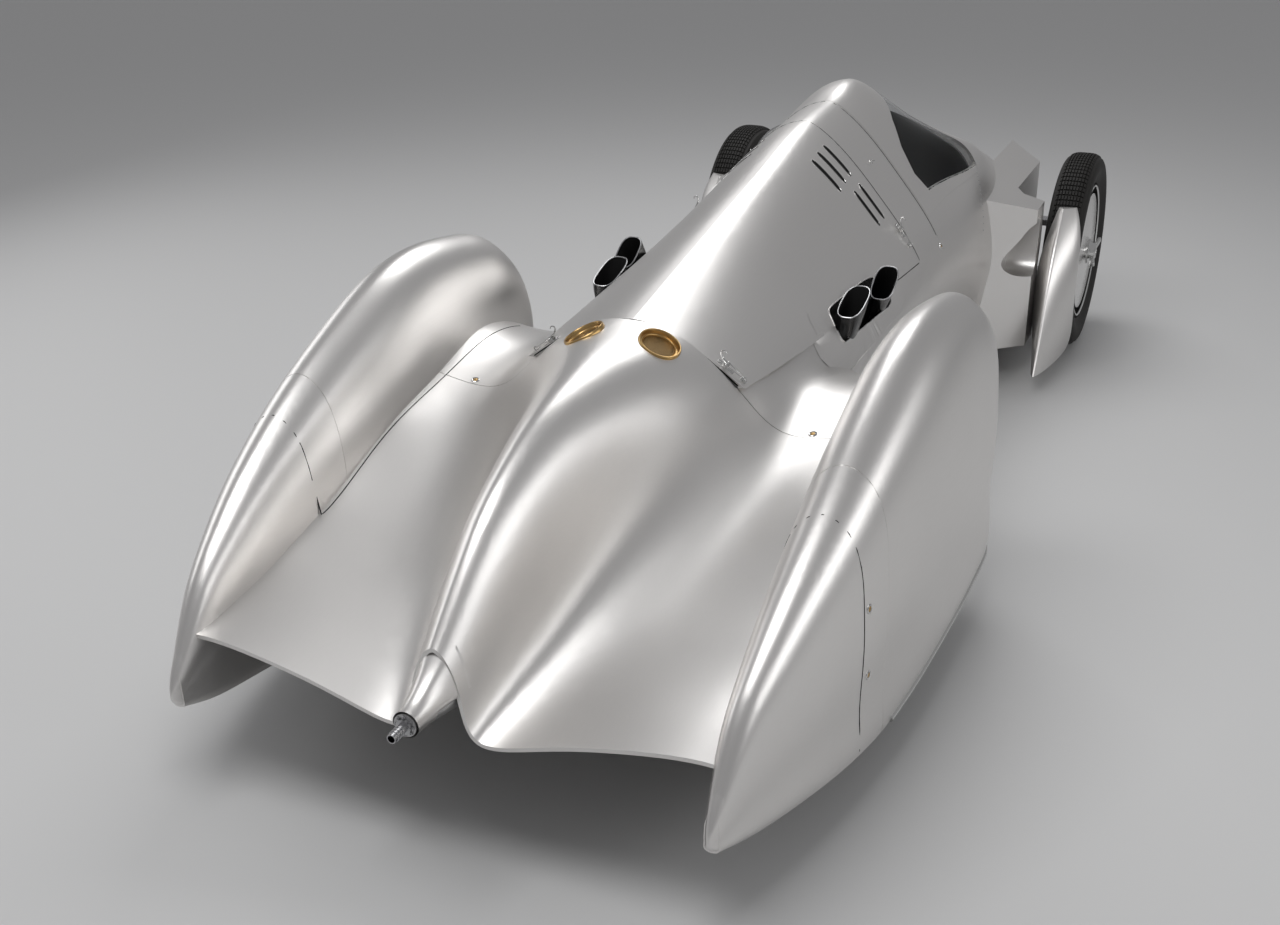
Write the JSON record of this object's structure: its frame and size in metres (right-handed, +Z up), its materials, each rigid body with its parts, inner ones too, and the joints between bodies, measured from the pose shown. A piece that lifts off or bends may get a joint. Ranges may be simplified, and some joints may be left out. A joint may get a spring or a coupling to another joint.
{
  "type": "closed-cockpit streamlined racing car",
  "caption": "Silver 1930s mid-engined streamlined racing car with a closed cockpit, exposed front wheels, long enclosed rear fenders and a central tail fin.",
  "frame": {"origin": "on the floor, below the middle of the car's length and width", "axes": "+X to the nose, +Y to the car's left, +Z up"},
  "size_m": [4.57, 1.7588, 1.2025],
  "materials": {
    "satin_aluminium": "satin, brushed along the body",
    "dull_aluminium": "dull sheet",
    "cast_aluminium": "rough casting",
    "steel": "machined and oiled",
    "chrome": "polished",
    "mesh_steel": "bright wire",
    "brass": "lightly polished",
    "black_enamel": "gloss black",
    "dash_black": "satin black",
    "leather": "dark brown hide",
    "clear_plastic": "clear blown acrylic",
    "tyre_rubber": "black rubber",
    "wheel_disc": "satin disc cover"
  },
  "bodies": {
    "root": {"nose_cowl": "satin_aluminium", "grille": "mesh_steel", "axle_fairing_left": "satin_aluminium", "axle_fairing_right": "satin_aluminium", "wheel_fairing_left": "satin_aluminium", "wheel_fairing_right": "satin_aluminium", "side_panel_left": "satin_aluminium", "side_panel_right": "satin_aluminium", "body_ring": "satin_aluminium", "undertray": "dull_aluminium", "bulkhead": "dull_aluminium", "dashboard": "dash_black", "steering_column": "steel", "seat": "leather", "engine_block": "cast_aluminium", "gearbox": "cast_aluminium", "exhaust_left": "black_enamel", "exhaust_right": "black_enamel", "tail_shell": "satin_aluminium", "fender_cover_left": "satin_aluminium", "fender_cover_right": "satin_aluminium", "shoulder_panel_left": "satin_aluminium", "shoulder_panel_right": "satin_aluminium", "starter_boss": "dull_aluminium", "starter_shaft": "steel", "filler_caps": "brass", "front_axle": "steel", "rear_axle": "steel"},
    "engine_cover": {"engine_cover": "satin_aluminium", "cover_latches": "chrome"},
    "canopy": {"canopy": "satin_aluminium", "windscreen": "clear_plastic"},
    "steering_wheel": {"steering_wheel": "dash_black"},
    "knuckle_left": {"knuckle_left": "steel"},
    "knuckle_right": {"knuckle_right": "steel"},
    "front_left": {"front_tyre_left": "tyre_rubber", "front_wheel_left": "wheel_disc"},
    "front_right": {"front_tyre_right": "tyre_rubber", "front_wheel_right": "wheel_disc"},
    "rear_left": {"rear_tyre_left": "tyre_rubber", "rear_wheel_left": "wheel_disc"},
    "rear_right": {"rear_tyre_right": "tyre_rubber", "rear_wheel_right": "wheel_disc"}
  },
  "joints": [
    {"name": "engine_cover_lift", "type": "slide", "parent": "root", "child": "engine_cover", "axis": [0, 0, 1], "range_m": [0, 0.45]},
    {"name": "canopy_lift", "type": "slide", "parent": "root", "child": "canopy", "axis": [0, 0, 1], "range_m": [0, 0.4]},
    {"name": "steering", "type": "hinge", "parent": "root", "child": "steering_wheel", "pos_m": [0.835, 0, 0.745], "axis": [-0.9272, 0, 0.3746], "range_deg": [-140, 140]},
    {"name": "steer_left", "type": "hinge", "parent": "root", "child": "knuckle_left", "pos_m": [1.753, 0.618, 0.39], "axis": [0, 0, 1], "range_deg": [-14, 14]},
    {"name": "steer_right", "type": "hinge", "parent": "root", "child": "knuckle_right", "pos_m": [1.753, -0.618, 0.39], "axis": [0, 0, 1], "range_deg": [-14, 14]},
    {"name": "front_left_spin", "type": "hinge", "parent": "knuckle_left", "child": "front_left", "pos_m": [1.753, 0.71, 0.39], "axis": [0, 1, 0], "continuous": true},
    {"name": "front_right_spin", "type": "hinge", "parent": "knuckle_right", "child": "front_right", "pos_m": [1.753, -0.71, 0.39], "axis": [0, 1, 0], "continuous": true},
    {"name": "rear_left_spin", "type": "hinge", "parent": "root", "child": "rear_left", "pos_m": [-1.047, 0.71, 0.435], "axis": [0, 1, 0], "continuous": true},
    {"name": "rear_right_spin", "type": "hinge", "parent": "root", "child": "rear_right", "pos_m": [-1.047, -0.71, 0.435], "axis": [0, 1, 0], "continuous": true}
  ],
  "couplings": [
    {"joint": "steer_left", "follows": "steering", "ratio": 0.1},
    {"joint": "steer_right", "follows": "steering", "ratio": 0.1}
  ]
}
